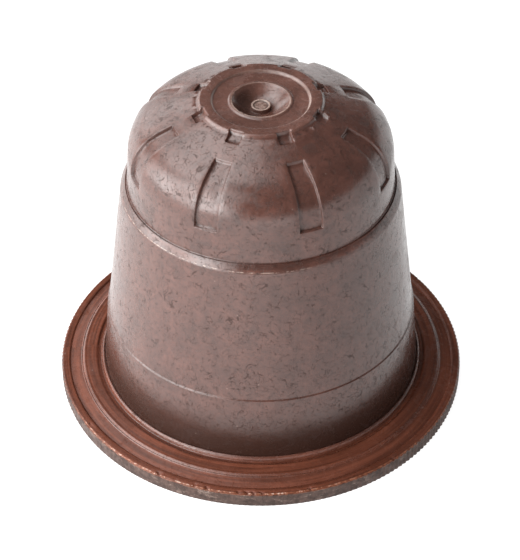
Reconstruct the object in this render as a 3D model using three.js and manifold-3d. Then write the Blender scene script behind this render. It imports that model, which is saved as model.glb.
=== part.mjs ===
// Single-serve coffee pod, standing on its lid film with its domed end up.
// Millimetres, +Z up. The origin is on the pod's axis, at the underside of the lid film.

import * as THREE from "three";
import { mergeVertices } from "three/addons/utils/BufferGeometryUtils.js";
import Module from "manifold-3d";

// Lid film, welded flat under the flange
const FILM_THICKNESS = 0.1;
const FILM_INSET = 0.4; // from the tips of the rim's teeth in to the film's edge

// Flange, from its rim inwards; every height is above the flange's underside
const FLANGE_RADIUS = 18.5; // to the tips of the rim's teeth
const TOOTH_PITCH = 0.5;
const TOOTH_DEPTH = 0.12;
const LIP_HEIGHT = 1.45;
const LIP_CHAMFER = 0.15;
const LIP_WIDTH = 0.72;
const LIP_INNER_SLOPE = 0.1; // how far the lip's inner side leans out to the channel's floor
const CHANNEL_OUTER_HEIGHT = 1.33;
const CHANNEL_INNER_HEIGHT = 1.6;
const CHANNEL_WIDTH = 1.06;
const STEP_LEAN = 0.18;
const PLATEAU_HEIGHT = 1.72; // at its outer edge
const PLATEAU_RISE = 0.13; // from its outer edge to its inner edge

// Raised ring round the foot of the cup's wall, with a groove outside it
const RING_HEIGHT = 2.12;
const RING_TOP_WIDTH = 0.16;
const RING_LEAN = 0.27;
const GROOVE_WIDTH = 0.45;
const GROOVE_DEPTH = 0.16;

// Conical wall of the cup
const WALL_FOOT_RADIUS = 14.4; // at the ring's top
const LOWER_DRAFT = THREE.MathUtils.degToRad(4.8);
const WITNESS_HEIGHT = 8.1; // line left by the mould's split
const WITNESS_STEP = 0.11;
const UPPER_DRAFT = THREE.MathUtils.degToRad(6.9);
const WALL_HEIGHT = 20.98;

// Sloped ledge between the wall and the dome's skirt, with a small chamfer at its lower edge
const LEDGE_RADIUS = 12.12;
const LEDGE_HEIGHT = 21.2;
const LEDGE_RISE = 0.56;
const LEDGE_GROOVE_WIDTH = 0.16;
const LEDGE_GROOVE_DEPTH = 0.06;

// Dome: a drafted skirt, a round shoulder and a shallow cone
const SKIRT_FOOT_RADIUS = 11.62;
const SKIRT_DRAFT = THREE.MathUtils.degToRad(3.4);
const SHOULDER_RADIUS = 4;
const CONE_SLOPE = THREE.MathUtils.degToRad(22.5);

// Raised disc on the dome, with a recess and the gate's dimple in it
const POD_HEIGHT = 30.1; // flange underside to disc
const DISC_RADIUS = 5.2;
const DISC_STEP = 0.28; // disc above the cone round it
const DISC_LEAN = 0.15;
const RECESS_RADIUS = 4.2;
const RECESS_DEPTH = 0.2;
const RECESS_LEAN = 0.08;
const LIP_RING_RADIUS = 2.75;
const LIP_RING_WIDTH = 0.4;
const LIP_RING_HEIGHT = 0.1;
const DIMPLE_FLOOR_RADIUS = 1.15;
const DIMPLE_DEPTH = 0.8; // below the recess
const GATE_RADIUS = 0.85;
const GATE_HEIGHT = 0.35;
const GATE_CHAMFER = 0.1;

// Slots over the shoulder and notches at the disc's edge, both sunk by a constant depth
const FEATURE_COUNT = 8;
const SLOT_INNER_RADIUS = 7.64;
const SLOT_INNER_WIDTH = 1.5;
const SLOT_OUTER_WIDTH = 2.2;
const SLOT_DEPTH = 0.27;
const SLOT_FLOOR_HEIGHT = 24.4;
const NOTCH_INNER_RADIUS = 4.98;
const NOTCH_OUTER_RADIUS = 6.0;
const NOTCH_WIDTH = 1.2;
const NOTCH_DEPTH = 0.3;

// How finely the round forms are divided, and how far a cutter stands clear of what it trims
const TURN_SEGMENTS = 80;
const ARC_DIVISIONS = 4;
const CLEAR = 1;

const wasm = await Module();
wasm.setup();

// A closed geometry as a solid: shared corners merged, and collapsed triangles left out
function toSolid(geometry) {
  const bare = new THREE.BufferGeometry();
  bare.setAttribute("position", geometry.getAttribute("position"));
  bare.setIndex(geometry.getIndex());
  const merged = mergeVertices(bare);
  const index = merged.getIndex().array;
  const triVerts = [];
  for (let i = 0; i < index.length; i += 3) {
    const [a, b, c] = index.slice(i, i + 3);
    if (a !== b && b !== c && c !== a) triVerts.push(a, b, c);
  }
  return new wasm.Manifold(new wasm.Mesh({
    numProp: 3,
    vertProperties: new Float32Array(merged.getAttribute("position").array),
    triVerts: new Uint32Array(triVerts),
  }));
}

function toGeometry(solid) {
  const mesh = solid.getMesh();
  const geometry = new THREE.BufferGeometry();
  geometry.setAttribute("position", new THREE.BufferAttribute(mesh.vertProperties, 3));
  geometry.setIndex(new THREE.BufferAttribute(mesh.triVerts, 1));
  geometry.computeVertexNormals();
  return geometry;
}

// A section of radius against height, turned about Z and standing on the given level
function turned(path, level) {
  const geometry = new THREE.LatheGeometry(path.getPoints(ARC_DIVISIONS), TURN_SEGMENTS);
  geometry.rotateX(Math.PI / 2);
  geometry.translate(0, 0, level);
  return geometry;
}

// The two straight sides of the dome as lines of radius against height
const coneFoot = new THREE.Vector2(DISC_RADIUS + DISC_LEAN, POD_HEIGHT - DISC_STEP);
const skirtFoot = new THREE.Vector2(SKIRT_FOOT_RADIUS, LEDGE_HEIGHT + LEDGE_RISE);
const coneRadius = (height) => coneFoot.x + (coneFoot.y - height) / Math.tan(CONE_SLOPE);

// Height at which the skirt's line and the cone's line cross, above the round shoulder
function shoulderCorner() {
  const skirtRun = Math.tan(SKIRT_DRAFT);
  const coneRun = 1 / Math.tan(CONE_SLOPE);
  const rise = (coneRadius(skirtFoot.y) - skirtFoot.x) / (coneRun - skirtRun);
  return new THREE.Vector2(skirtFoot.x - rise * skirtRun, skirtFoot.y + rise);
}

// Draws the shoulder's arc, sunk by the given depth, from the skirt to the cone
function drawShoulder(path, depth) {
  const turn = Math.PI / 2 - CONE_SLOPE - SKIRT_DRAFT;
  const tangent = SHOULDER_RADIUS * Math.tan(turn / 2);
  const corner = shoulderCorner();
  const centre = new THREE.Vector2(
    corner.x + tangent * Math.sin(SKIRT_DRAFT) - SHOULDER_RADIUS * Math.cos(SKIRT_DRAFT),
    corner.y - tangent * Math.cos(SKIRT_DRAFT) - SHOULDER_RADIUS * Math.sin(SKIRT_DRAFT),
  );
  const start = SKIRT_DRAFT;
  path.absarc(centre.x, centre.y, SHOULDER_RADIUS - depth, start, start + turn, false);
}

// The flange's top, from the rim's side in to the foot of the cup's wall
function drawFlange(path) {
  const stock = TOOTH_DEPTH; // outside the teeth, trimmed away when they are cut
  const rim = FLANGE_RADIUS + stock;
  const chamfer = LIP_CHAMFER + stock;
  const channelOuter = FLANGE_RADIUS - LIP_WIDTH - LIP_INNER_SLOPE;
  const channelInner = channelOuter - CHANNEL_WIDTH;
  const ringInner = WALL_FOOT_RADIUS + RING_TOP_WIDTH;
  const ringOuter = ringInner + RING_LEAN;
  const plateauTop = PLATEAU_HEIGHT + PLATEAU_RISE;
  path.lineTo(rim, 0);
  path.lineTo(rim, LIP_HEIGHT - chamfer);
  path.lineTo(rim - chamfer, LIP_HEIGHT);
  path.lineTo(FLANGE_RADIUS - LIP_WIDTH, LIP_HEIGHT);
  path.lineTo(channelOuter, CHANNEL_OUTER_HEIGHT);
  path.lineTo(channelInner, CHANNEL_INNER_HEIGHT);
  path.lineTo(channelInner - STEP_LEAN, PLATEAU_HEIGHT);
  path.lineTo(ringOuter + GROOVE_WIDTH, plateauTop);
  path.lineTo(ringOuter + GROOVE_WIDTH / 2, plateauTop - GROOVE_DEPTH);
  path.lineTo(ringOuter, plateauTop - GROOVE_DEPTH);
  path.lineTo(ringInner, RING_HEIGHT);
  path.lineTo(WALL_FOOT_RADIUS, RING_HEIGHT);
}

// The cup's wall with its witness line, and the ledge that carries the dome
function drawWall(path) {
  const witnessRadius = WALL_FOOT_RADIUS - (WITNESS_HEIGHT - RING_HEIGHT) * Math.tan(LOWER_DRAFT);
  const upperRadius = witnessRadius - WITNESS_STEP;
  const upperFoot = WITNESS_HEIGHT + WITNESS_STEP;
  const wallTopRadius = upperRadius - (WALL_HEIGHT - upperFoot) * Math.tan(UPPER_DRAFT);
  const grooveEdge = skirtFoot.x + LEDGE_GROOVE_WIDTH;
  path.lineTo(witnessRadius, WITNESS_HEIGHT);
  path.lineTo(upperRadius, upperFoot);
  path.lineTo(wallTopRadius, WALL_HEIGHT);
  path.lineTo(LEDGE_RADIUS, LEDGE_HEIGHT);
  path.lineTo(grooveEdge, skirtFoot.y);
  path.lineTo(grooveEdge - LEDGE_GROOVE_WIDTH / 2, skirtFoot.y - LEDGE_GROOVE_DEPTH);
  path.lineTo(skirtFoot.x, skirtFoot.y);
}

// The raised disc, its recess, the ring round the dimple, and the gate's stub in the dimple
function drawDisc(path) {
  const recess = POD_HEIGHT - RECESS_DEPTH;
  const dimpleEdge = LIP_RING_RADIUS - LIP_RING_WIDTH;
  const dimpleFloor = recess - DIMPLE_DEPTH;
  path.lineTo(coneFoot.x, coneFoot.y);
  path.lineTo(DISC_RADIUS, POD_HEIGHT);
  path.lineTo(RECESS_RADIUS, POD_HEIGHT);
  path.lineTo(RECESS_RADIUS - RECESS_LEAN, recess);
  path.lineTo(LIP_RING_RADIUS, recess);
  path.lineTo(LIP_RING_RADIUS - LIP_RING_WIDTH / 3, recess + LIP_RING_HEIGHT);
  path.lineTo(dimpleEdge + LIP_RING_WIDTH / 3, recess + LIP_RING_HEIGHT);
  path.lineTo(dimpleEdge, recess);
  path.quadraticCurveTo(dimpleEdge - DIMPLE_DEPTH / 3, dimpleFloor, DIMPLE_FLOOR_RADIUS, dimpleFloor);
  path.lineTo(GATE_RADIUS, dimpleFloor);
  path.lineTo(GATE_RADIUS, dimpleFloor + GATE_HEIGHT - GATE_CHAMFER);
  path.lineTo(GATE_RADIUS - GATE_CHAMFER, dimpleFloor + GATE_HEIGHT);
  path.lineTo(0, dimpleFloor + GATE_HEIGHT);
}

// The whole pod turned, before its teeth, slots and notches are cut
function turnedBody() {
  const path = new THREE.Path();
  path.moveTo(0, 0);
  drawFlange(path);
  drawWall(path);
  drawShoulder(path, 0);
  drawDisc(path);
  return toSolid(turned(path, FILM_THICKNESS));
}

// The dome sunk by the given depth: what a pocket of that depth leaves standing
function sunkDome(depth) {
  const path = new THREE.Path();
  const axisHeight = coneFoot.y + coneFoot.x * Math.tan(CONE_SLOPE) - depth / Math.cos(CONE_SLOPE);
  const footRadius = skirtFoot.x - depth / Math.cos(SKIRT_DRAFT);
  path.moveTo(0, skirtFoot.y);
  path.lineTo(footRadius, skirtFoot.y);
  drawShoulder(path, depth);
  path.lineTo(0, axisHeight);
  return toSolid(turned(path, FILM_THICKNESS));
}

// Upright cutters round the dome, tapered in plan, that stop at the sunk dome
function pockets({ innerRadius, outerRadius, innerWidth, outerWidth, depth, floorHeight }) {
  const plan = new THREE.Shape();
  plan.moveTo(innerRadius, -innerWidth / 2);
  plan.lineTo(outerRadius, -outerWidth / 2);
  plan.lineTo(outerRadius, outerWidth / 2);
  plan.lineTo(innerRadius, innerWidth / 2);
  plan.closePath();
  const reach = POD_HEIGHT + CLEAR - floorHeight;
  const sunk = sunkDome(depth);
  const cutters = [];
  for (let k = 0; k < FEATURE_COUNT; k += 1) {
    const geometry = new THREE.ExtrudeGeometry(plan, { depth: reach, bevelEnabled: false });
    geometry.translate(0, 0, FILM_THICKNESS + floorHeight);
    geometry.rotateZ(((k + 0.5) * 2 * Math.PI) / FEATURE_COUNT);
    cutters.push(toSolid(geometry).subtract(sunk));
  }
  return cutters;
}

function slotCutters() {
  return pockets({
    innerRadius: SLOT_INNER_RADIUS,
    outerRadius: SKIRT_FOOT_RADIUS + CLEAR,
    innerWidth: SLOT_INNER_WIDTH,
    outerWidth: SLOT_OUTER_WIDTH,
    depth: SLOT_DEPTH,
    floorHeight: SLOT_FLOOR_HEIGHT,
  });
}

function notchCutters() {
  return pockets({
    innerRadius: NOTCH_INNER_RADIUS,
    outerRadius: NOTCH_OUTER_RADIUS,
    innerWidth: NOTCH_WIDTH,
    outerWidth: NOTCH_WIDTH,
    depth: NOTCH_DEPTH,
    floorHeight: LEDGE_HEIGHT + LEDGE_RISE,
  });
}

// A column with the rim's teeth round it, which trims the flange's edge
function toothedColumn() {
  const teeth = Math.round((2 * Math.PI * FLANGE_RADIUS) / TOOTH_PITCH);
  const points = [];
  for (let k = 0; k < 2 * teeth; k += 1) {
    const angle = (k * Math.PI) / teeth;
    const radius = FLANGE_RADIUS - (k % 2 ? TOOTH_DEPTH : 0);
    points.push(new THREE.Vector2(radius * Math.cos(angle), radius * Math.sin(angle)));
  }
  const depth = POD_HEIGHT + 2 * CLEAR;
  const geometry = new THREE.ExtrudeGeometry(new THREE.Shape(points), { depth, bevelEnabled: false });
  geometry.translate(0, 0, FILM_THICKNESS - CLEAR);
  return toSolid(geometry);
}

// The moulded body with its sealed-in dose, as one solid
function capsule() {
  let solid = turnedBody().intersect(toothedColumn());
  for (const cutter of [...slotCutters(), ...notchCutters()]) {
    solid = solid.subtract(cutter);
  }
  const material = new THREE.MeshStandardMaterial({ color: 0x6f5a50, roughness: 0.35, metalness: 0 });
  const mesh = new THREE.Mesh(toGeometry(solid), material);
  mesh.name = "capsule";
  return mesh;
}

// The flat film that closes the pod
function lidFilm() {
  const radius = FLANGE_RADIUS - FILM_INSET;
  const path = new THREE.Path();
  path.moveTo(0, 0);
  path.lineTo(radius, 0);
  path.lineTo(radius, FILM_THICKNESS);
  path.lineTo(0, FILM_THICKNESS);
  const material = new THREE.MeshStandardMaterial({ color: 0xcfc6b8, roughness: 0.7, metalness: 0 });
  const mesh = new THREE.Mesh(toGeometry(toSolid(turned(path, 0))), material);
  mesh.name = "lid_film";
  return mesh;
}

const pod = new THREE.Group();
pod.add(capsule(), lidFilm());

export default pod;
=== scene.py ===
import math
import random

import bpy
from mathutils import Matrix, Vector


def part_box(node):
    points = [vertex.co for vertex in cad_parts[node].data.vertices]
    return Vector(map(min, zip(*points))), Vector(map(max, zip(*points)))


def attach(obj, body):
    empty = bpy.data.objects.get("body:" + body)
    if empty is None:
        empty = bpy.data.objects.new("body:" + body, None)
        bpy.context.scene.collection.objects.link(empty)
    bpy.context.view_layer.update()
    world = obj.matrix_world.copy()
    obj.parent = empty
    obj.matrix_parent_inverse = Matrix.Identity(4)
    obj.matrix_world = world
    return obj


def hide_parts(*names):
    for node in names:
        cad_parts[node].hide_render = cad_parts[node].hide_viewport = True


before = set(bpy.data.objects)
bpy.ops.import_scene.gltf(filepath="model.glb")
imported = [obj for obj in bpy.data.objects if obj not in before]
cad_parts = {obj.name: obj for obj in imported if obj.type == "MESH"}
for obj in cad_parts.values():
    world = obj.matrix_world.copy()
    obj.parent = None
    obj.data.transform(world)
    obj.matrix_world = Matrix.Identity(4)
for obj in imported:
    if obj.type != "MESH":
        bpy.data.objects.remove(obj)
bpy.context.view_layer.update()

# Millimetres are the unit for every size below; MM turns them into metres
MM = 0.001
body_low, body_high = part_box("capsule")
UNDERSIDE = body_low.z / MM  # the flange rests on the film here
FLANGE_RADIUS = body_high.x / MM
TOP = body_high.z / MM

# Flange, with heights above its underside
TOOTH_PITCH = 0.5
TOOTH_DEPTH = 0.12
LIP_HEIGHT = 1.45
LIP_CHAMFER = 0.15
LIP_WIDTH = 0.72
CHANNEL_OUTER = FLANGE_RADIUS - LIP_WIDTH - 0.1
CHANNEL_OUTER_HEIGHT = 1.33
CHANNEL_INNER = CHANNEL_OUTER - 1.06
CHANNEL_INNER_HEIGHT = 1.6
PLATEAU_HEIGHT = 1.72
PLATEAU_TOP = 1.85
RING_HEIGHT = 2.12
RING_OUTER = 14.8
GROOVE_WIDTH = 0.45
GROOVE_DEPTH = 0.16

# Cup's wall, ledge and dome
WALL_FOOT = 14.4
LOWER_DRAFT = math.radians(4.8)
WITNESS_HEIGHT = 8.1
WITNESS_STEP = 0.11
UPPER_DRAFT = math.radians(6.9)
WALL_HEIGHT = 20.98
LEDGE_RADIUS = 12.12
LEDGE_HEIGHT = 21.2
SKIRT_FOOT = 11.62
SKIRT_FOOT_HEIGHT = 21.76
SKIRT_DRAFT = math.radians(3.4)
SHOULDER_RADIUS = 4.0
CONE_SLOPE = math.radians(22.5)
DISC_RADIUS = 5.2
DISC_STEP = 0.28
DISC_LEAN = 0.15
DISC_HEIGHT = TOP - UNDERSIDE
RECESS_RADIUS = 4.2
RECESS_HEIGHT = DISC_HEIGHT - 0.2
DIMPLE_RADIUS = 2.35
DIMPLE_FLOOR = RECESS_HEIGHT - 0.8
GATE_RADIUS = 0.85
GATE_HEIGHT = DIMPLE_FLOOR + 0.35

# Pockets: eight slots over the shoulder and eight notches at the disc's edge
SECTORS = 8
SLOT_INNER = 7.64
SLOT_FLOOR_HEIGHT = 24.4
SLOT_DEPTH = 0.27
SLOT_INNER_HALF = 0.75
SLOT_OUTER_HALF = 1.02
NOTCH_INNER = 4.98
NOTCH_OUTER = 6.0
NOTCH_HALF = 0.6
NOTCH_DEPTH = 0.3
EDGE_ROUND = 0.07
FLOOR_ROUND = 0.05
WALL_LEAN = 0.04

# Camera that took the photograph, fitted to the pod's known width
CAMERA_DISTANCE = 185.0
CAMERA_ELEVATION = math.radians(40.6)
CAMERA_AZIMUTH = math.radians(1.1)
CAMERA_LENS = 131.5
SENSOR = 36.0
AIM_RIGHT = -0.075
AIM_HEIGHT = 10.1

random.seed(7)


# Sections as points of radius and height

def rounded(points, steps=3):
    """A section through (radius, height, setback) points, each corner rounded over its setback."""
    path = [Vector(points[0][:2])]
    for before, here, after in zip(points, points[1:], points[2:]):
        corner = Vector(here[:2])
        if here[2] == 0:
            path.append(corner)
            continue
        start = corner + (Vector(before[:2]) - corner).normalized() * here[2]
        end = corner + (Vector(after[:2]) - corner).normalized() * here[2]
        for k in range(steps + 1):
            t = k / steps
            path.append(start * (1 - t) ** 2 + corner * 2 * t * (1 - t) + end * t * t)
    path.append(Vector(points[-1][:2]))
    return path


def wall_radius(height):
    if height <= WITNESS_HEIGHT:
        return WALL_FOOT - (height - RING_HEIGHT) * math.tan(LOWER_DRAFT)
    return wall_radius(WITNESS_HEIGHT) - WITNESS_STEP - (height - WITNESS_HEIGHT) * math.tan(UPPER_DRAFT)


def flange_section():
    """From the lip's top in to the skirt's foot, up the cup's wall."""
    step = CHANNEL_INNER
    witness = wall_radius(WITNESS_HEIGHT)
    return rounded([
        (FLANGE_RADIUS - 0.45, LIP_HEIGHT, 0),
        (FLANGE_RADIUS - LIP_WIDTH, LIP_HEIGHT, 0.05),
        (CHANNEL_OUTER, CHANNEL_OUTER_HEIGHT, 0.06),
        (step + 0.04, CHANNEL_INNER_HEIGHT - 0.01, 0.03),
        (step - 0.02, CHANNEL_INNER_HEIGHT + 0.06, 0.04),
        (step - 0.08, CHANNEL_INNER_HEIGHT + 0.02, 0.03),
        (step - 0.22, PLATEAU_HEIGHT + 0.03, 0.09),
        (step - 0.45, PLATEAU_HEIGHT + 0.01, 0.1),
        (RING_OUTER + GROOVE_WIDTH, PLATEAU_TOP, 0.1),
        (RING_OUTER + GROOVE_WIDTH * 0.6, PLATEAU_TOP - GROOVE_DEPTH, 0.08),
        (RING_OUTER, PLATEAU_TOP - GROOVE_DEPTH, 0.06),
        (RING_OUTER - 0.12, RING_HEIGHT - 0.04, 0.13),
        (WALL_FOOT + 0.12, RING_HEIGHT, 0.06),
        (WALL_FOOT + 0.03, RING_HEIGHT - 0.1, 0.03),
        (wall_radius(RING_HEIGHT + 2), RING_HEIGHT + 2, 0),
        (witness, WITNESS_HEIGHT, 0.02),
        (witness - WITNESS_STEP, WITNESS_HEIGHT + WITNESS_STEP, 0.02),
        (wall_radius(WALL_HEIGHT / 2), WALL_HEIGHT / 2, 0),
        (wall_radius(WALL_HEIGHT), WALL_HEIGHT, 0.1),
        (LEDGE_RADIUS, LEDGE_HEIGHT, 0.08),
        (SKIRT_FOOT + 0.16, SKIRT_FOOT_HEIGHT, 0.06),
        (SKIRT_FOOT + 0.08, SKIRT_FOOT_HEIGHT - 0.06, 0.04),
        (SKIRT_FOOT, SKIRT_FOOT_HEIGHT, 0),
    ])


CONE_FOOT = Vector((DISC_RADIUS + DISC_LEAN, DISC_HEIGHT - DISC_STEP))


def shoulder():
    """Centre of the shoulder's arc, which touches the skirt's line and the cone's line."""
    skirt_run = math.tan(SKIRT_DRAFT)
    cone_run = 1 / math.tan(CONE_SLOPE)
    gap = CONE_FOOT.x + (CONE_FOOT.y - SKIRT_FOOT_HEIGHT) * cone_run - SKIRT_FOOT
    rise = gap / (cone_run - skirt_run)
    tangent = SHOULDER_RADIUS * math.tan((math.pi / 2 - CONE_SLOPE - SKIRT_DRAFT) / 2)
    down = (math.sin(SKIRT_DRAFT), -math.cos(SKIRT_DRAFT))
    inward = (-math.cos(SKIRT_DRAFT), -math.sin(SKIRT_DRAFT))
    corner = Vector((SKIRT_FOOT - rise * skirt_run, SKIRT_FOOT_HEIGHT + rise))
    return corner + tangent * Vector(down) + SHOULDER_RADIUS * Vector(inward)


SHOULDER_CENTRE = shoulder()


def skirt(height):
    return Vector((SKIRT_FOOT - (height - SKIRT_FOOT_HEIGHT) * math.tan(SKIRT_DRAFT), height))


def cone(radius, depth=0.0):
    """The cone's height at a radius, sunk by a depth measured square to it."""
    fall = (radius - CONE_FOOT.x) * math.tan(CONE_SLOPE)
    return Vector((radius, CONE_FOOT.y - fall - depth / math.cos(CONE_SLOPE)))


def on_shoulder(angle, depth=0.0):
    reach = SHOULDER_RADIUS - depth
    return SHOULDER_CENTRE + reach * Vector((math.cos(angle), math.sin(angle)))


def blend(a, b, t):
    return a + (b - a) * t


# Each row of the dome: its surface point, its pocket's floor point, and the pocket's half-width

def slot_half(radius):
    t = (radius - SLOT_INNER) / (SKIRT_FOOT - SLOT_INNER)
    return SLOT_INNER_HALF + (SLOT_OUTER_HALF - SLOT_INNER_HALF) * max(0.0, t)


def skirt_rows():
    rows = []
    below = SLOT_FLOOR_HEIGHT - SKIRT_FOOT_HEIGHT
    for share in (0.04, 0.3, 0.6, 0.85):
        s = skirt(SKIRT_FOOT_HEIGHT + below * share)
        rows.append((s, s, SLOT_OUTER_HALF))
    ledge = (
        (-EDGE_ROUND, 0.0),
        (-EDGE_ROUND * 0.3, EDGE_ROUND * 0.3),
        (0.0, EDGE_ROUND),
        (WALL_LEAN, SLOT_DEPTH - FLOOR_ROUND),
        (WALL_LEAN + FLOOR_ROUND, SLOT_DEPTH),
    )
    for lift, sunk in ledge:
        s = skirt(SLOT_FLOOR_HEIGHT + lift)
        rows.append((s, s - Vector((sunk, 0)), slot_half(s.x)))
    return rows


def shoulder_rows(count=14):
    rows = []
    first, last = SKIRT_DRAFT, math.pi / 2 - CONE_SLOPE
    for k in range(count + 1):
        angle = blend(first, last, k / count)
        s = on_shoulder(angle)
        rows.append((s, on_shoulder(angle, SLOT_DEPTH), slot_half(s.x)))
    return rows


def slot_top_rows():
    rows = []
    tangent_radius = on_shoulder(math.pi / 2 - CONE_SLOPE).x
    lean_in = SLOT_DEPTH * math.sin(CONE_SLOPE)
    inner = SLOT_INNER + WALL_LEAN + FLOOR_ROUND
    for share in (0.35, 0.7):
        radius = blend(tangent_radius, inner, share)
        floor_radius = radius - lean_in * (1 - share)
        rows.append((cone(radius), cone(floor_radius, SLOT_DEPTH), slot_half(radius)))
    rim = (
        (WALL_LEAN + FLOOR_ROUND, SLOT_DEPTH),
        (WALL_LEAN, SLOT_DEPTH - FLOOR_ROUND),
        (0.0, EDGE_ROUND),
        (-EDGE_ROUND * 0.3, EDGE_ROUND * 0.3),
        (-EDGE_ROUND, 0.0),
    )
    for outward, sunk in rim:
        radius = SLOT_INNER + outward
        rows.append((cone(radius), cone(radius, sunk), SLOT_INNER_HALF))
    return rows


def notch_rows():
    middle = (SLOT_INNER + NOTCH_OUTER) / 2
    rows = [(cone(middle), cone(middle), (SLOT_INNER_HALF + NOTCH_HALF) / 2)]
    rim = (
        (EDGE_ROUND, 0.0),
        (EDGE_ROUND * 0.3, EDGE_ROUND * 0.3),
        (0.0, EDGE_ROUND),
        (-WALL_LEAN, NOTCH_DEPTH - FLOOR_ROUND),
        (-WALL_LEAN - FLOOR_ROUND, NOTCH_DEPTH),
        (-0.45, NOTCH_DEPTH),
    )
    for outward, sunk in rim:
        radius = NOTCH_OUTER + outward
        rows.append((cone(radius), cone(radius, sunk), NOTCH_HALF))
    return rows


def disc_edge_rows():
    rows = []
    edge = rounded([
        (CONE_FOOT.x + 0.2, cone(CONE_FOOT.x + 0.2).y, 0),
        (CONE_FOOT.x, CONE_FOOT.y, 0.08),
        (DISC_RADIUS, DISC_HEIGHT, 0.09),
        (DISC_RADIUS - 0.1, DISC_HEIGHT, 0),
    ])
    for s in edge[:-1]:
        rows.append((s, cone(s.x, NOTCH_DEPTH), NOTCH_HALF))
    wall_foot = cone(NOTCH_INNER, NOTCH_DEPTH).y + FLOOR_ROUND
    wall_top = Vector((NOTCH_INNER + 0.03, DISC_HEIGHT))
    rows.append((wall_top, Vector((NOTCH_INNER + 0.02, wall_foot)), NOTCH_HALF))
    for inward, sunk in ((0.0, EDGE_ROUND), (EDGE_ROUND * 0.3, EDGE_ROUND * 0.3), (EDGE_ROUND, 0.0)):
        radius = NOTCH_INNER - inward
        s = Vector((radius, DISC_HEIGHT))
        rows.append((s, s - Vector((0, sunk)), NOTCH_HALF))
    return rows


def disc_section():
    """From inside the notches over the recess and its ring down into the dimple."""
    lip = RECESS_HEIGHT + 0.1
    return rounded([
        (NOTCH_INNER - 0.2, DISC_HEIGHT, 0),
        (RECESS_RADIUS + 0.02, DISC_HEIGHT, 0.1),
        (RECESS_RADIUS - 0.12, RECESS_HEIGHT, 0.08),
        (DIMPLE_RADIUS + 0.45, RECESS_HEIGHT, 0.06),
        (DIMPLE_RADIUS + 0.3, lip, 0.08),
        (DIMPLE_RADIUS + 0.1, lip, 0.08),
        (DIMPLE_RADIUS, RECESS_HEIGHT - 0.02, 0.06),
        (2.0, RECESS_HEIGHT - 0.32, 0.15),
        (1.55, RECESS_HEIGHT - 0.64, 0.2),
        (1.1, DIMPLE_FLOOR, 0.12),
        (GATE_RADIUS + 0.03, DIMPLE_FLOOR, 0.04),
        (GATE_RADIUS, GATE_HEIGHT, 0.07),
        (0.68, GATE_HEIGHT, 0.05),
        (0.6, GATE_HEIGHT - 0.07, 0.04),
        (0.3, GATE_HEIGHT - 0.04, 0.05),
        (0.08, GATE_HEIGHT - 0.02, 0),
    ])


# Rings of points round the axis

EDGE_COLUMNS = (
    (EDGE_ROUND, 0.0),
    (EDGE_ROUND * 0.3, 0.075),
    (0.0, 0.2),
    (-WALL_LEAN, 0.88),
    (-WALL_LEAN - FLOOR_ROUND, 1.0),
)
FLOOR_SHARES = (0.6, 0.2)
OPEN_STEPS = 8
HALF_SECTOR = math.pi / SECTORS


def half_columns(surface, floor, half):
    """Half a sector as (angle, sunk share) pairs, from the middle of a pocket outwards."""
    def angle_of(offset, share):
        return math.asin((half + offset) / blend(surface, floor, share).x)
    innermost = EDGE_COLUMNS[-1][0]
    reach = angle_of(innermost, 1.0)
    columns = [(reach * share, 1.0) for share in reversed(FLOOR_SHARES)]
    columns += [(angle_of(offset, share), share) for offset, share in reversed(EDGE_COLUMNS)]
    edge = columns[-1][0]
    columns += [(blend(edge, HALF_SECTOR, k / OPEN_STEPS), 0.0) for k in range(1, OPEN_STEPS)]
    return columns


def sector_columns(surface, floor, half):
    """One sector's columns by rising angle, from its boundary on."""
    right = half_columns(surface, floor, half)
    left = [(-angle, share) for angle, share in reversed(right)]
    return [(-HALF_SECTOR, 0.0)] + left + right


def pocket_ring(surface, floor, half):
    columns = sector_columns(surface, floor, half)
    ring = []
    for k in range(SECTORS):
        for angle, share in columns:
            turn = angle + (k + 0.5) * 2 * HALF_SECTOR
            point = blend(surface, floor, share)
            ring.append((point.x * math.cos(turn), point.x * math.sin(turn), point.y + UNDERSIDE))
    return ring


def plain_ring(point, angles):
    return [(point.x * math.cos(a), point.x * math.sin(a), point.y + UNDERSIDE) for a in angles]


def angles_of(ring):
    return [math.atan2(y, x) % (2 * math.pi) for x, y, z in ring]


# The rim: teeth, worn flat towards the front, and nicks broken out of its top edge

NICKS = ((-118, 0.3, 0.16), (-107.2, 0.22, 0.1), (-103.7, 0.26, 0.16), (-95, 0.2, 0.08), (-92.5, 0.3, 0.1),
         (-90.8, 0.25, 0.13), (-88.6, 0.3, 0.1), (-75.4, 0.2, 0.1), (-49.5, 0.25, 0.1), (-146, 0.25, 0.08),
         (35, 0.25, 0.08), (112, 0.3, 0.1))
WEAR_AZIMUTH = math.radians(-108)
TOOTH_SAMPLES = 4
TEETH = round(2 * math.pi * FLANGE_RADIUS / TOOTH_PITCH)


def wear(angle):
    """1 where the teeth are worn down, falling to 0 round the back."""
    facing = math.cos(angle - WEAR_AZIMUTH)
    return max(0.0, min(1.0, (facing - 0.45) / 0.35))


def nick(angle):
    """How deep the top edge is broken at an angle."""
    depth = 0.0
    for azimuth, width, deep in NICKS:
        away = (angle - math.radians(azimuth) + math.pi) % (2 * math.pi) - math.pi
        depth = max(depth, deep * math.exp(-(away * FLANGE_RADIUS / width * 1.8) ** 4))
    return depth


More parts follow.
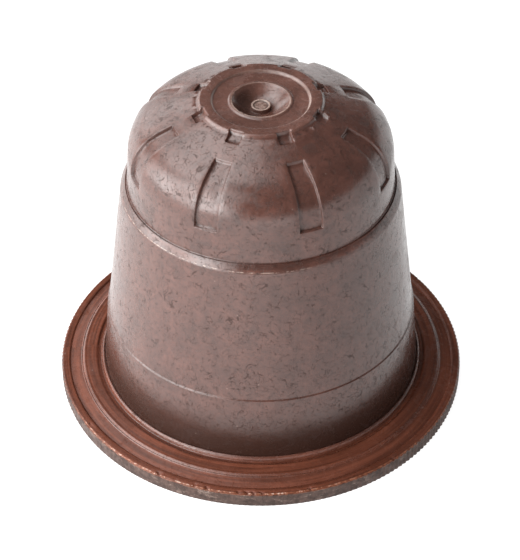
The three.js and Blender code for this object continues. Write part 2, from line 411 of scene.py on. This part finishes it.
def rim_rings():
    count = TEETH * TOOTH_SAMPLES
    side_top = LIP_HEIGHT - LIP_CHAMFER
    section = rounded([
        (FLANGE_RADIUS - 0.5, 0, 0),
        (FLANGE_RADIUS, 0, 0.08),
        (FLANGE_RADIUS, side_top * 0.5, 0),
        (FLANGE_RADIUS, side_top, 0.05),
        (FLANGE_RADIUS - LIP_CHAMFER, LIP_HEIGHT, 0.06),
        (FLANGE_RADIUS - 0.35, LIP_HEIGHT, 0),
    ])
    ragged = [random.uniform(-1, 1) for _ in range(count)]
    rings = []
    for point in section:
        ring = []
        for k in range(count):
            angle = 2 * math.pi * k / count
            tooth = 0.5 - 0.5 * math.cos(2 * math.pi * k / TOOTH_SAMPLES)
            out = max(0.0, (point.x - (FLANGE_RADIUS - LIP_CHAMFER)) / LIP_CHAMFER)
            high = max(0.0, (point.y - side_top) / LIP_CHAMFER)
            cut = out * tooth * TOOTH_DEPTH * (1 - 0.8 * wear(angle))
            broken = (nick(angle) + 0.02 * wear(angle) * ragged[k]) * high
            radius = point.x - cut - max(0.0, broken) * out
            height = point.y + UNDERSIDE - max(0.0, broken)
            ring.append((radius * math.cos(angle), radius * math.sin(angle), height))
        rings.append(ring)
    return rings


USED_UP = 9  # turns, past every angle, for a ring whose points have all been taken


def bridge(start_a, ring_a, start_b, ring_b):
    """Faces between two closed rings that both begin near angle zero, whatever their counts."""
    a, b = angles_of(ring_a), angles_of(ring_b)
    if len(a) == len(b):
        count = len(a)
        return [(start_a + k, start_a + (k + 1) % count, start_b + (k + 1) % count, start_b + k)
                for k in range(count)]
    faces = []
    i = j = 0
    while i < len(a) or j < len(b):
        next_a = a[i + 1] if i + 1 < len(a) else a[0] + 2 * math.pi * (1 if i < len(a) else USED_UP)
        next_b = b[j + 1] if j + 1 < len(b) else b[0] + 2 * math.pi * (1 if j < len(b) else USED_UP)
        here_a, here_b = start_a + i % len(a), start_b + j % len(b)
        if next_a <= next_b:
            i += 1
            faces.append((here_a, start_a + i % len(a), here_b))
        else:
            j += 1
            faces.append((here_a, start_b + j % len(b), here_b))
    return faces


def mesh_object(name, points, faces):
    mesh = bpy.data.meshes.new(name)
    mesh.from_pydata([Vector(p) * MM for p in points], [], faces)
    mesh.validate()
    mesh.polygons.foreach_set("use_smooth", [True] * len(mesh.polygons))
    obj = bpy.data.objects.new(name, mesh)
    bpy.context.scene.collection.objects.link(obj)
    modifier = obj.modifiers.new("even_normals", "WEIGHTED_NORMAL")
    modifier.mode = "FACE_AREA"
    return obj


def closed_form(name, rings):
    """A closed mesh through rings that run from the underside up and over to the top."""
    points, faces, starts = [], [], []
    for ring in rings:
        starts.append(len(points))
        points += ring
    for k in range(len(rings) - 1):
        faces += bridge(starts[k], rings[k], starts[k + 1], rings[k + 1])
    for ring, start, flip in ((rings[0], starts[0], True), (rings[-1], starts[-1], False)):
        centre = len(points)
        points.append((0, 0, ring[0][2]))
        for k in range(len(ring)):
            edge = (start + k, start + (k + 1) % len(ring))
            faces.append((edge[1], edge[0], centre) if flip else (edge[0], edge[1], centre))
    return mesh_object(name, points, faces)


def make_capsule():
    dome = [pocket_ring(*row) for row in
            skirt_rows() + shoulder_rows() + slot_top_rows() + notch_rows() + disc_edge_rows()]
    wall_angles, disc_angles = angles_of(dome[0]), angles_of(dome[-1])
    wall = [plain_ring(point, wall_angles) for point in flange_section()]
    disc = [plain_ring(point, disc_angles) for point in disc_section()]
    under = [plain_ring(Vector((FLANGE_RADIUS * 0.5, 0)), wall_angles)]
    return closed_form("pod_body", under + rim_rings() + wall + dome + disc)


def make_camera():
    data = bpy.data.cameras.new("camera")
    data.lens = CAMERA_LENS
    data.sensor_width = SENSOR
    camera = bpy.data.objects.new("camera", data)
    bpy.context.scene.collection.objects.link(camera)
    level = math.cos(CAMERA_ELEVATION)
    toward = Vector((math.sin(CAMERA_AZIMUTH), -math.cos(CAMERA_AZIMUTH), 0))
    back = toward * level + Vector((0, 0, math.sin(CAMERA_ELEVATION)))
    right = Vector((math.cos(CAMERA_AZIMUTH), math.sin(CAMERA_AZIMUTH), 0))
    aim = right * AIM_RIGHT + Vector((0, 0, AIM_HEIGHT))
    camera.location = (aim + back * CAMERA_DISTANCE) * MM
    camera.rotation_euler = (math.pi / 2 - CAMERA_ELEVATION, 0, CAMERA_AZIMUTH)
    data.clip_start, data.clip_end = 0.01, 10
    bpy.context.scene.camera = camera


# Materials: expressions of nodes, in coordinates of millimetres

class Graph:
    """The nodes of one material or world."""

    def __init__(self, tree):
        self.tree = tree

    def feed(self, socket, value):
        if isinstance(value, bpy.types.NodeSocket):
            self.tree.links.new(value, socket)
        elif socket.type == "RGBA" and len(value) == 3:
            socket.default_value = (*value, 1)
        else:
            socket.default_value = value

    def node(self, kind, output, inputs, **settings):
        node = self.tree.nodes.new("ShaderNode" + kind)
        for key, value in settings.items():
            setattr(node, key, value)
        for key, value in inputs.items():
            self.feed(node.inputs[key], value)
        return node.outputs[output]

    def math(self, operation, *values):
        return self.node("Math", 0, dict(enumerate(values)), operation=operation)

    def add(self, *values):
        total = values[0]
        for value in values[1:]:
            total = self.math("ADD", total, value)
        return total

    def times(self, *values):
        product = values[0]
        for value in values[1:]:
            product = self.math("MULTIPLY", product, value)
        return product

    def ramp(self, value, low, high, start=0.0, end=1.0):
        """Runs smoothly from start to end as the value goes from low to high."""
        inputs = {0: value, 1: low, 2: high, 3: start, 4: end}
        return self.node("MapRange", 0, inputs, interpolation_type="SMOOTHSTEP")

    def band(self, value, low, high, soft):
        """1 between low and high, with soft edges."""
        rise = self.ramp(value, low - soft, low + soft)
        fall = self.ramp(value, high + soft, high - soft)
        return self.times(rise, fall)

    def mix(self, share, a, b, blend="MIX"):
        return self.node("Mix", 2, {0: share, 6: a, 7: b}, data_type="RGBA", blend_type=blend)

    def noise(self, vector, scale, detail=2.0, roughness=0.5, distortion=0.0):
        inputs = {"Vector": vector, "Scale": scale, "Detail": detail, "Roughness": roughness,
                  "Distortion": distortion}
        return self.node("TexNoise", 0, inputs)

    def stretch(self, vector, turn, scale, shift=(0, 0, 0)):
        inputs = {"Vector": vector, "Rotation": turn, "Scale": scale, "Location": shift}
        return self.node("Mapping", 0, inputs)

    def vector(self, x, y, z):
        return self.node("CombineXYZ", 0, {0: x, 1: y, 2: z})

    def bump(self, height, distance):
        """A height of 0 to 1 as relief of the given depth in millimetres."""
        return self.node("Bump", 0, {"Height": height, "Strength": 1.0, "Distance": distance * MM})


def new_material(name):
    material = bpy.data.materials.new(name)
    material.use_nodes = True
    return material, Graph(material.node_tree), material.node_tree.nodes["Principled BSDF"]


def coordinates(graph):
    """Position in millimetres, its distance from the axis, its height, and its angle in radians."""
    local = graph.node("TexCoord", "Object", {})
    place = graph.node("VectorMath", 0, {0: local, "Scale": 1 / MM}, operation="SCALE")
    split = graph.tree.nodes.new("ShaderNodeSeparateXYZ")
    graph.feed(split.inputs[0], place)
    x, y, z = split.outputs
    radius = graph.math("SQRT", graph.add(graph.times(x, x), graph.times(y, y)))
    angle = graph.math("ARCTAN2", y, x)
    return place, radius, z, angle


def squiggles(graph, place, scale, width, gate_scale, gate, shift):
    """Short irregular fibres: contour lines of a noise, broken up by a second one."""
    moved = graph.stretch(place, (0.4, 0.9, 0.2), (1, 1, 1), (shift, shift * 1.7, -shift))
    field = graph.noise(moved, scale, 1.5, 0.55, 0.9)
    away = graph.math("ABSOLUTE", graph.math("SUBTRACT", field, 0.5))
    line = graph.ramp(away, width, width * 0.35)
    broken = graph.ramp(graph.noise(moved, gate_scale, 1.0), gate, gate + 0.05)
    return graph.times(line, broken)


def specks(graph, place, scale, size, share):
    """Scattered small blots, in a share of a Voronoi pattern's cells."""
    node = graph.tree.nodes.new("ShaderNodeTexVoronoi")
    for key, value in {"Vector": place, "Scale": scale, "Randomness": 1.0}.items():
        graph.feed(node.inputs[key], value)
    blot = graph.ramp(node.outputs["Distance"], size, size * 0.5)
    pick = graph.node("SeparateColor", 0, {0: node.outputs["Color"]})
    chosen = graph.math("LESS_THAN", pick, share)
    return graph.times(blot, chosen)


def shaded(graph, colour, shade):
    """A colour made darker or lighter by a factor."""
    return graph.mix(1.0, colour, graph.vector(shade, shade, shade), "MULTIPLY")


def facing(graph, angle, azimuth):
    """1 on the side of the axis that the azimuth in degrees names, -1 on the far side."""
    return graph.math("COSINE", graph.math("SUBTRACT", angle, math.radians(azimuth)))


# Linear colours
BODY = (0.083, 0.034, 0.025)
FLANGE = (0.112, 0.035, 0.02)
DISC = (0.1, 0.044, 0.033)
# Dark fibres and stains; the same colour serves the painted shade
DARK_FIBRE_AND_SHADE = (0.032, 0.0145, 0.0105)
PALE = (0.2, 0.13, 0.11)
RIM = (0.062, 0.036, 0.029)
COPPER = (0.34, 0.13, 0.07)
WHITISH = (0.5, 0.38, 0.32)
FILM_DARK = (0.60, 0.53, 0.44)
FILM_LIGHT = (0.72, 0.66, 0.57)
FILM_STRAND = (0.42, 0.34, 0.26)
FILM_WELD = (0.5, 0.43, 0.34)

# Finish, painted highlights and painted shade: depths of relief in millimetres, and sides of the pod as
# azimuths in degrees
BODY_IOR = 1.62
RIM_IOR = 1.32
BODY_RELIEF = 0.05
RIM_RELIEF = 0.06
FILM_RELIEF = 0.05
PALE_WEAR_AND_HIGHLIGHT_SIDE = -120
COPPER_WEAR_AND_HIGHLIGHT_SIDE = -82
SHADED_SIDE = 190
LIP_WEAR_AND_HIGHLIGHT_HEIGHTS = (1.46, 1.57)
FOOT_SHADE_HEIGHTS = (6.0, 1.6)
WELD_RADII = (15.1, 17.6)
RIB_PITCH = 0.5


def fibre_marks(graph, place):
    """Dark fibres and dark dots in the moulding."""
    fibres = graph.math("MAXIMUM",
                        squiggles(graph, place, 0.85, 0.014, 1.2, 0.465, 3.1),
                        squiggles(graph, place, 1.6, 0.019, 1.9, 0.455, 11.7))
    dots = graph.math("MAXIMUM",
                      specks(graph, place, 0.75, 0.1, 0.22),
                      specks(graph, place, 1.7, 0.16, 0.16))
    return fibres, dots


def red_zones(graph, radius, height):
    """The flange's top and the raised disc, which are redder than the rest."""
    flange = graph.times(graph.ramp(height, 2.35, 2.1), graph.ramp(radius, 14.3, 14.5))
    disc = graph.times(graph.ramp(height, TOP - 0.42, TOP - 0.3),
                       graph.ramp(radius, DISC_RADIUS + 0.12, DISC_RADIUS + 0.08))
    disc = graph.math("MAXIMUM", disc, graph.ramp(radius, NOTCH_INNER - 0.2, NOTCH_INNER - 0.24))
    return flange, disc


def turned_streaks(graph, base, flange, radius, height, angle):
    """Fine streaks round the axis on the flange and the ledge."""
    turned = graph.vector(graph.times(radius, 3.5), graph.times(angle, 1.6), graph.times(height, 1.2))
    streaks = graph.noise(turned, 1.0, 3.0, 0.6)
    shade = graph.ramp(streaks, 0.35, 0.7, 0.68, 1.38)
    ledge = graph.band(height, LEDGE_HEIGHT + UNDERSIDE, SKIRT_FOOT_HEIGHT + UNDERSIDE, 0.06)
    return graph.mix(graph.math("MAXIMUM", flange, ledge), base, shaded(graph, base, shade))


def worn_and_highlit_edges(graph, base, chips, radius, height, angle):
    """The lip's copper line towards the front, partly wear and partly painted highlight; pale painted
    highlights broken by chips on the lip and the ledge's edge towards the front left; the gate's top pale in
    patches. Also returns the copper line's strength.
    """
    front_left = graph.ramp(facing(graph, angle, PALE_WEAR_AND_HIGHLIGHT_SIDE), 0.45, 0.85)
    front = graph.ramp(facing(graph, angle, COPPER_WEAR_AND_HIGHLIGHT_SIDE), 0.2, 0.5)
    rim_edge = graph.times(graph.band(height, *LIP_WEAR_AND_HIGHLIGHT_HEIGHTS, 0.02),
                           graph.ramp(radius, FLANGE_RADIUS - 0.2, FLANGE_RADIUS - 0.14), front)
    # The copper line: partly wear, partly a painted highlight
    worn = graph.times(rim_edge, graph.ramp(chips, 0.42, 0.56, 0.1, 0.6))
    base = graph.mix(worn, base, COPPER)
    # Pale painted highlights, broken by chips, on the lip and the ledge's edge towards the front left
    pale_wear_and_highlight = graph.times(rim_edge, graph.ramp(chips, 0.52, 0.6), front_left, 0.7)
    ledge_edge = graph.times(graph.band(height, LEDGE_HEIGHT, LEDGE_HEIGHT + 0.07, 0.02),
                             graph.ramp(chips, 0.45, 0.56), front_left)
    pale_wear_and_highlight = graph.math("MAXIMUM", pale_wear_and_highlight, graph.times(ledge_edge, 0.5))
    gate = graph.times(graph.ramp(radius, GATE_RADIUS, GATE_RADIUS - 0.06), graph.ramp(chips, 0.42, 0.52))
    pale_wear_and_highlight = graph.math("MAXIMUM", pale_wear_and_highlight, graph.times(gate, 0.2))
    return graph.mix(pale_wear_and_highlight, base, WHITISH), worn


def disc_marks(graph, base, chips, disc, radius, angle):
    """Painted highlights on the recess's edge and the ring round the dimple, towards the front; the gate's
    stub paler, with a painted highlight on its rim and painted shade in the groove on its top.
    """
    # Painted highlights, strongest towards the front and broken by chips
    near = graph.ramp(graph.math("SINE", angle), 0.35, -0.35, 0.25, 1.0)
    crest_highlight = graph.math("MAXIMUM",
                       graph.band(radius, RECESS_RADIUS - 0.1, RECESS_RADIUS + 0.03, 0.03),
                       graph.band(radius, DIMPLE_RADIUS + 0.1, DIMPLE_RADIUS + 0.22, 0.03))
    crest_highlight = graph.times(crest_highlight, disc, near, graph.ramp(chips, 0.36, 0.5, 0.4, 1.0))
    base = graph.mix(graph.times(crest_highlight, 0.5), base, WHITISH)
    # The stub: a painted highlight on its rim, its middle pale in patches
    stub = graph.math("MAXIMUM",
                      graph.times(graph.band(radius, GATE_RADIUS - 0.2, GATE_RADIUS - 0.04, 0.03), 0.45),
                      graph.times(graph.ramp(radius, 0.62, 0.55), graph.ramp(chips, 0.3, 0.7), 0.3))
    base = graph.mix(stub, base, WHITISH)
    # Painted shade in the groove on the stub's top
    hollow = graph.band(radius, 0.5, 0.66, 0.05)
    return graph.mix(graph.times(hollow, 0.7), base, DARK_FIBRE_AND_SHADE)


def dull_flange(graph, flange, radius):
    """The flange's top apart from its step and its foot ring, which keep their gloss."""
    step = graph.math("MAXIMUM",
                      graph.band(radius, CHANNEL_INNER - 0.3, CHANNEL_INNER + 0.05, 0.04),
                      graph.ramp(radius, RING_OUTER + 0.06, RING_OUTER - 0.02))
    return graph.times(flange, graph.math("SUBTRACT", 1.0, step))


def shaded_bowl(graph, radius, angle):
    """One side of the dimple: a shadow of the photo's light, not a mark on the plastic."""
    return graph.times(graph.band(radius, GATE_RADIUS, DIMPLE_RADIUS - 0.15, 0.15),
                       graph.ramp(facing(graph, angle, SHADED_SIDE), -0.1, 0.7))


def moulded_material():
    material, graph, shader = new_material("moulded_fibre_plastic")
    place, radius, height, angle = coordinates(graph)

    clouds = graph.noise(place, 0.4, 5.0, 0.65, 0.4)
    grain = graph.noise(place, 1.9, 4.0, 0.65, 0.3)
    fine = graph.noise(place, 6.0, 3.0, 0.6)
    chips = graph.noise(place, 2.6, 4.0, 0.7, 0.5)
    mottle = graph.add(graph.times(clouds, 0.55), graph.times(grain, 0.45))
    fibres, dots = fibre_marks(graph, place)
    glints = specks(graph, place, 1.1, 0.1, 0.12)
    stains = graph.ramp(graph.noise(place, 0.55, 5.0, 0.7, 0.8), 0.5, 0.66)

    flange, disc = red_zones(graph, radius, height)
    red = graph.math("MAXIMUM", flange, disc)
    base = graph.mix(flange, graph.mix(disc, BODY, DISC), FLANGE)
    uneven = graph.ramp(flange, 0.0, 1.0, 0.8, 0.25)
    base = graph.mix(uneven, base, shaded(graph, base, graph.ramp(mottle, 0.32, 0.68, 0.62, 1.32)))
    # Painted shade: the wall darkened towards its foot, next to the flange, with a cloudy edge
    foot = graph.ramp(graph.add(height, graph.times(clouds, -3.0)), *FOOT_SHADE_HEIGHTS)
    foot = graph.times(foot, graph.ramp(radius, 14.5, 14.4))
    base = graph.mix(graph.times(foot, 0.97), base, DARK_FIBRE_AND_SHADE)
    base = turned_streaks(graph, base, flange, radius, height, angle)

    sparse = graph.ramp(red, 0.0, 1.0, 0.75, 0.2)
    base = graph.mix(graph.times(fibres, sparse), base, DARK_FIBRE_AND_SHADE)
    base = graph.mix(graph.times(dots, sparse), base, DARK_FIBRE_AND_SHADE)
    stained = graph.times(stains, graph.ramp(height, 21.0, 23.0, 0.25, 0.5),
                          graph.ramp(red, 0.0, 1.0, 1.0, 0.0))
    base = graph.mix(stained, base, DARK_FIBRE_AND_SHADE)
    base = graph.mix(graph.times(glints, 0.7), base, PALE)

    base, worn = worn_and_highlit_edges(graph, base, chips, radius, height, angle)
    # Painted shade: concave creases above the flange are darkened
    bend = graph.node("NewGeometry", "Pointiness", {})
    crease_shade = graph.times(graph.ramp(bend, 0.485, 0.42), graph.ramp(height, 2.6, 3.0))
    base = graph.mix(graph.times(crease_shade, 0.8), base, DARK_FIBRE_AND_SHADE)
    base = disc_marks(graph, base, chips, disc, radius, angle)
    bowl = shaded_bowl(graph, radius, angle)
    base = graph.mix(graph.times(bowl, 0.75), base, DARK_FIBRE_AND_SHADE)

    rough = graph.ramp(mottle, 0.3, 0.7, 0.14, 0.26)
    rough = graph.add(rough, graph.times(fibres, 0.12), graph.times(stains, 0.16), graph.times(flange, 0.03))
    rough = graph.math("MAXIMUM", rough, graph.times(worn, 0.4))

    on_gate = graph.ramp(radius, GATE_RADIUS + 0.05, GATE_RADIUS - 0.05, 0.0, 1.2)
    relief = graph.add(graph.times(clouds, 0.5), graph.times(grain, 0.3), graph.times(fine, 0.06),
                       graph.times(fibres, -0.08), graph.times(chips, on_gate))

    pits = graph.math("MAXIMUM", fibres, graph.times(dots, 0.6))
    dull = dull_flange(graph, flange, radius)
    gloss = graph.times(graph.ramp(pits, 0.0, 1.0, 0.5, 0.24), graph.ramp(dull, 0.0, 1.0, 1.0, 0.28),
                        graph.ramp(crease_shade, 0.0, 1.0, 1.0, 0.3), graph.ramp(foot, 0.0, 1.0, 1.0, 0.42),
                        graph.ramp(bowl, 0.0, 1.0, 1.0, 0.5))

    graph.feed(shader.inputs["Base Color"], base)
    graph.feed(shader.inputs["Roughness"], rough)
    graph.feed(shader.inputs["Normal"], graph.bump(relief, BODY_RELIEF))
    graph.feed(shader.inputs["Specular IOR Level"], gloss)
    shader.inputs["IOR"].default_value = BODY_IOR
    return material


def rim_material():
    """The rim's side: duller than the rest, mottled and scuffed."""
    material, graph, shader = new_material("moulded_rim_side")
    place, radius, height, angle = coordinates(graph)
    grain = graph.noise(place, 1.6, 5.0, 0.7, 0.5)
    fine = graph.noise(place, 7.0, 3.0, 0.6)
    along = graph.vector(graph.times(angle, 14.0), graph.times(height, 1.8), radius)
    scuffs = graph.ramp(graph.noise(along, 1.0, 5.0, 0.75, 0.3), 0.52, 0.78)
    base = shaded(graph, RIM, graph.ramp(grain, 0.3, 0.7, 0.55, 1.45))
    base = graph.mix(graph.times(scuffs, graph.ramp(fine, 0.35, 0.6, 0.15, 0.6)), base, WHITISH)
    # Copper line along the side's top edge, broken by the grain: partly wear, partly a painted highlight
    top = graph.times(graph.ramp(height, 1.36, 1.42), graph.ramp(grain, 0.42, 0.5))
    base = graph.mix(top, base, COPPER)
    relief = graph.add(grain, graph.times(fine, 0.3))
    graph.feed(shader.inputs["Base Color"], base)
    graph.feed(shader.inputs["Roughness"], graph.ramp(grain, 0.3, 0.7, 0.6, 0.42))
    graph.feed(shader.inputs["Normal"], graph.bump(relief, RIM_RELIEF))
    shader.inputs["IOR"].default_value = RIM_IOR
    return material


def film_material():
    """Pale pressed paper, ribbed where it is welded to the flange."""
    material, graph, shader = new_material("lid_film_paper")
    place, radius, height, angle = coordinates(graph)
    pulp = graph.noise(place, 0.7, 5.0, 0.65, 0.3)
    strands = squiggles(graph, place, 0.8, 0.03, 0.9, 0.5, 5.3)
    base = graph.mix(graph.ramp(pulp, 0.3, 0.7), FILM_DARK, FILM_LIGHT)
    base = graph.mix(graph.times(strands, 0.35), base, FILM_STRAND)
    weld = graph.band(radius, *WELD_RADII, 0.08)
    ribs = graph.math("SINE", graph.times(radius, 2 * math.pi / RIB_PITCH))
    pressed = graph.times(weld, graph.add(0.6, graph.times(ribs, 0.4)))
    base = graph.mix(graph.times(weld, 0.35), base, FILM_WELD)
    relief = graph.add(graph.times(pulp, 0.25), graph.times(pressed, -0.6), graph.times(strands, 0.15))
    graph.feed(shader.inputs["Base Color"], base)
    graph.feed(shader.inputs["Roughness"], graph.ramp(pulp, 0.3, 0.7, 0.55, 0.75))
    graph.feed(shader.inputs["Normal"], graph.bump(relief, FILM_RELIEF))
    return material


# Floor and studio light. The floor glows more towards one side. The world holds soft lobes, each an
# azimuth, an elevation, inner and outer half-angles in degrees, and a strength
FLOOR_SIZE = 3
FLOOR_GREY = (0.15, 0.15, 0.15, 1)
FLOOR_ROUGHNESS = 0.8
FLOOR_GLOW = (0.95, 1.85)
FLOOR_GLOW_TOWARDS = (-0.87, -0.5, 0)
FLOOR_GLOW_REACH = (-15.0, 50.0)
WHITE = (1, 1, 1, 1)
AMBIENT = 0.13
LOBES = (
    (148, 62, 8, 34, 3.8),
    (182, 42, 12, 32, 1.6),
    (224, 46, 6, 28, 2.9),
    (128, 20, 5, 20, 2.9),
    (205, 16, 10, 36, 4.6),
    (232, 14, 5, 24, 4.7),
    (175, 6, 6, 28, 3.8),
)
HORIZON = 1.3
HORIZON_RISE = (0.24, 0.05)


def floor_material():
    material, graph, shader = new_material("floor")
    place, radius, height, angle = coordinates(graph)
    towards = graph.node("VectorMath", "Value", {0: place, 1: FLOOR_GLOW_TOWARDS}, operation="DOT_PRODUCT")
    shader.inputs["Base Color"].default_value = FLOOR_GREY
    shader.inputs["Roughness"].default_value = FLOOR_ROUGHNESS
    shader.inputs["Emission Color"].default_value = WHITE
    graph.feed(shader.inputs["Emission Strength"], graph.ramp(towards, *FLOOR_GLOW_REACH, *FLOOR_GLOW))
    return material


def make_world():
    world = bpy.data.worlds.new("studio")
    bpy.context.scene.world = world
    world.use_nodes = True
    graph = Graph(world.node_tree)
    towards = graph.node("TexCoord", "Generated", {})
    light = AMBIENT
    for azimuth, elevation, inner, outer, strength in LOBES:
        a, e = math.radians(azimuth), math.radians(elevation)
        axis = (math.cos(a) * math.cos(e), math.sin(a) * math.cos(e), math.sin(e))
        along = graph.node("VectorMath", "Value", {0: towards, 1: axis}, operation="DOT_PRODUCT")
        low, high = math.cos(math.radians(outer)), math.cos(math.radians(inner))
        light = graph.add(light, graph.ramp(along, low, high, 0.0, strength))
    rise = graph.node("SeparateXYZ", 2, {0: towards})
    light = graph.add(light, graph.ramp(rise, *HORIZON_RISE, 0.0, HORIZON))
    background = world.node_tree.nodes["Background"]
    graph.feed(background.inputs["Strength"], light)
    background.inputs["Color"].default_value = WHITE


make_camera()
capsule = make_capsule()
capsule.data.materials.append(moulded_material())
capsule.data.materials.append(rim_material())
side_radius = FLANGE_RADIUS - TOOTH_DEPTH - 0.03
side_top = LIP_HEIGHT - LIP_CHAMFER + UNDERSIDE
for face in capsule.data.polygons:
    x, y, z = face.center / MM
    if math.hypot(x, y) > side_radius and z < side_top:
        face.material_index = 1
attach(capsule, "root")
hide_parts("capsule")

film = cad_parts["lid_film"]
film.data.materials.clear()
film.data.materials.append(film_material())

bpy.ops.mesh.primitive_plane_add(size=FLOOR_SIZE)
floor = bpy.context.object
floor.name = "floor"
floor.data.materials.append(floor_material())

make_world()
bpy.context.scene.view_settings.view_transform = "Standard"
